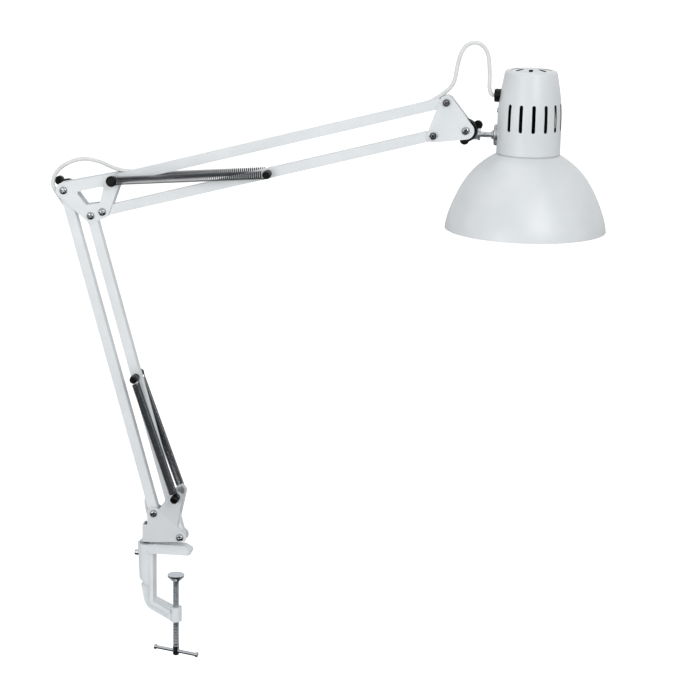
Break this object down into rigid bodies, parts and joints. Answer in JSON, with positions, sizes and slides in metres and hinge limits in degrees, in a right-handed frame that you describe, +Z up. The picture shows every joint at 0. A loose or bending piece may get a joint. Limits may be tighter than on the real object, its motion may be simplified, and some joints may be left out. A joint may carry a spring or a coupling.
{
  "type": "clamp lamp",
  "caption": "Clamp lamp with sprung parallel arms, folding elbow plates, a swivelling table clamp and a domed shade under a slotted cap.",
  "frame": {"origin": "underside of the clamp's upper jaw on the axis of the clamping screw, in the lamp's middle plane", "axes": "+Z up, +X from the clamp towards the shade, +Y away from the front, along the pivots"},
  "size_m": [0.5635, 0.16, 0.6635],
  "materials": {
    "white_paint": "smooth semi-gloss white enamel",
    "zinc_plate": "bright zinc plate",
    "spring_wire": "dark oiled drawn wire",
    "black_plastic": "satin moulded black",
    "white_lead": "smooth sheathed flexible lead",
    "die_cast": "satin die casting",
    "brass": "bright rolled brass"
  },
  "bodies": {
    "clamp": {"clamp_frame": "white_paint", "swivel_lock_screw": "zinc_plate"},
    "spindle": {"clamp_screw": "zinc_plate", "pressure_pad": "zinc_plate"},
    "handle": {"tommy_bar": "zinc_plate"},
    "base": {"base_bracket": "white_paint", "swivel_spigot": "zinc_plate", "base_pivot_screws": "zinc_plate", "base_pivot_nuts": "zinc_plate", "ear_rivets": "zinc_plate", "ear_spring_spools": "black_plastic", "lead_gland": "black_plastic", "base_lead": "white_lead"},
    "rear_arm": {"lower_rear_tube": "white_paint", "lower_tube_lead": "white_lead"},
    "front_arm": {"lower_front_tube": "white_paint", "lower_spring_pin": "zinc_plate", "lower_spring_spools": "black_plastic", "lower_spring_front": "spring_wire", "lower_spring_back": "spring_wire"},
    "elbow": {"elbow_plate_front": "white_paint", "elbow_plate_back": "white_paint", "elbow_pivot_screws": "zinc_plate", "elbow_pivot_nuts": "zinc_plate", "elbow_knob_bolt": "zinc_plate", "elbow_spring_pin": "zinc_plate", "elbow_spring_spools": "black_plastic", "elbow_lead": "white_lead"},
    "elbow_grip": {"elbow_knob": "black_plastic"},
    "top_arm": {"upper_top_tube": "white_paint", "upper_tube_lead": "white_lead"},
    "bottom_arm": {"upper_bottom_tube": "white_paint", "upper_spring_pin": "zinc_plate", "upper_spring_spools": "black_plastic", "upper_spring_front": "spring_wire", "upper_spring_back": "spring_wire"},
    "head_bracket": {"head_plate_front": "white_paint", "head_plate_back": "white_paint", "head_pivot_screws": "zinc_plate", "head_pivot_nuts": "zinc_plate", "tilt_bolt": "zinc_plate", "friction_discs": "black_plastic", "head_lead": "white_lead"},
    "tilt_grip": {"tilt_knob": "black_plastic"},
    "stem": {"tilt_stem": "die_cast", "stem_nut": "zinc_plate"},
    "head": {"shade_cap": "white_paint", "shade_dome": "white_paint", "stem_saddle": "die_cast", "lead_bush": "black_plastic", "cap_screw": "zinc_plate", "lampholder": "black_plastic", "socket_shell": "brass", "socket_contact": "brass", "holder_bracket": "zinc_plate", "holder_lead": "white_lead"}
  },
  "joints": [
    {"name": "clamp_travel", "type": "slide", "parent": "clamp", "child": "spindle", "axis": [0, 0, 1], "range_m": [-0.02, 0.024]},
    {"name": "bar_slide", "type": "slide", "parent": "spindle", "child": "handle", "axis": [0.9563, -0.2924, 0], "range_m": [-0.019, 0.019]},
    {"name": "base_swivel", "type": "hinge", "parent": "clamp", "child": "base", "pos_m": [-0.0308, 0, 0], "axis": [0, 0, 1], "range_deg": [-170, 170]},
    {"name": "lower_lift", "type": "hinge", "parent": "base", "child": "rear_arm", "pos_m": [-0.0225, 0, 0.043], "axis": [0, 1, 0], "range_deg": [-12, 60], "deforming": ["base_lead", "elbow_lead", "lower_spring_front", "lower_spring_back"]},
    {"name": "front_link", "type": "hinge", "parent": "base", "child": "front_arm", "pos_m": [0.0055, 0, 0.018], "axis": [0, 1, 0], "range_deg": [-12, 60], "deforming": ["lower_spring_front", "lower_spring_back"]},
    {"name": "elbow_level", "type": "hinge", "parent": "rear_arm", "child": "elbow", "pos_m": [-0.11479, 0, 0.38269], "axis": [0, 1, 0], "range_deg": [-60, 12], "deforming": ["elbow_lead"]},
    {"name": "elbow_knob_turn", "type": "hinge", "parent": "elbow", "child": "elbow_grip", "pos_m": [-0.11479, 0, 0.38269], "axis": [0, 1, 0], "continuous": true},
    {"name": "upper_lift", "type": "hinge", "parent": "elbow", "child": "top_arm", "pos_m": [-0.06269, 0, 0.39549], "axis": [0, 1, 0], "range_deg": [-32, 45], "deforming": ["elbow_lead", "head_lead", "upper_spring_front", "upper_spring_back"]},
    {"name": "bottom_link", "type": "hinge", "parent": "elbow", "child": "bottom_arm", "pos_m": [-0.07459, 0, 0.36229], "axis": [0, 1, 0], "range_deg": [-32, 45], "deforming": ["upper_spring_front", "upper_spring_back"]},
    {"name": "head_level", "type": "hinge", "parent": "top_arm", "child": "head_bracket", "pos_m": [0.27233, 0, 0.48588], "axis": [0, 1, 0], "range_deg": [-45, 32], "deforming": ["head_lead"]},
    {"name": "tilt_knob_turn", "type": "hinge", "parent": "head_bracket", "child": "tilt_grip", "pos_m": [0.29203, 0, 0.45858], "axis": [0, 1, 0], "continuous": true},
    {"name": "head_tilt", "type": "hinge", "parent": "head_bracket", "child": "stem", "pos_m": [0.29203, 0, 0.45858], "axis": [0, 1, 0], "range_deg": [-45, 28], "deforming": ["head_lead"]},
    {"name": "head_turn", "type": "hinge", "parent": "stem", "child": "head", "pos_m": [0.32203, 0, 0.45498], "axis": [1, 0, 0], "range_deg": [-90, 90], "deforming": ["head_lead"]}
  ],
  "couplings": [
    {"joint": "front_link", "follows": "lower_lift", "ratio": 1},
    {"joint": "elbow_level", "follows": "lower_lift", "ratio": -1},
    {"joint": "bottom_link", "follows": "upper_lift", "ratio": 1},
    {"joint": "head_level", "follows": "upper_lift", "ratio": -1}
  ]
}
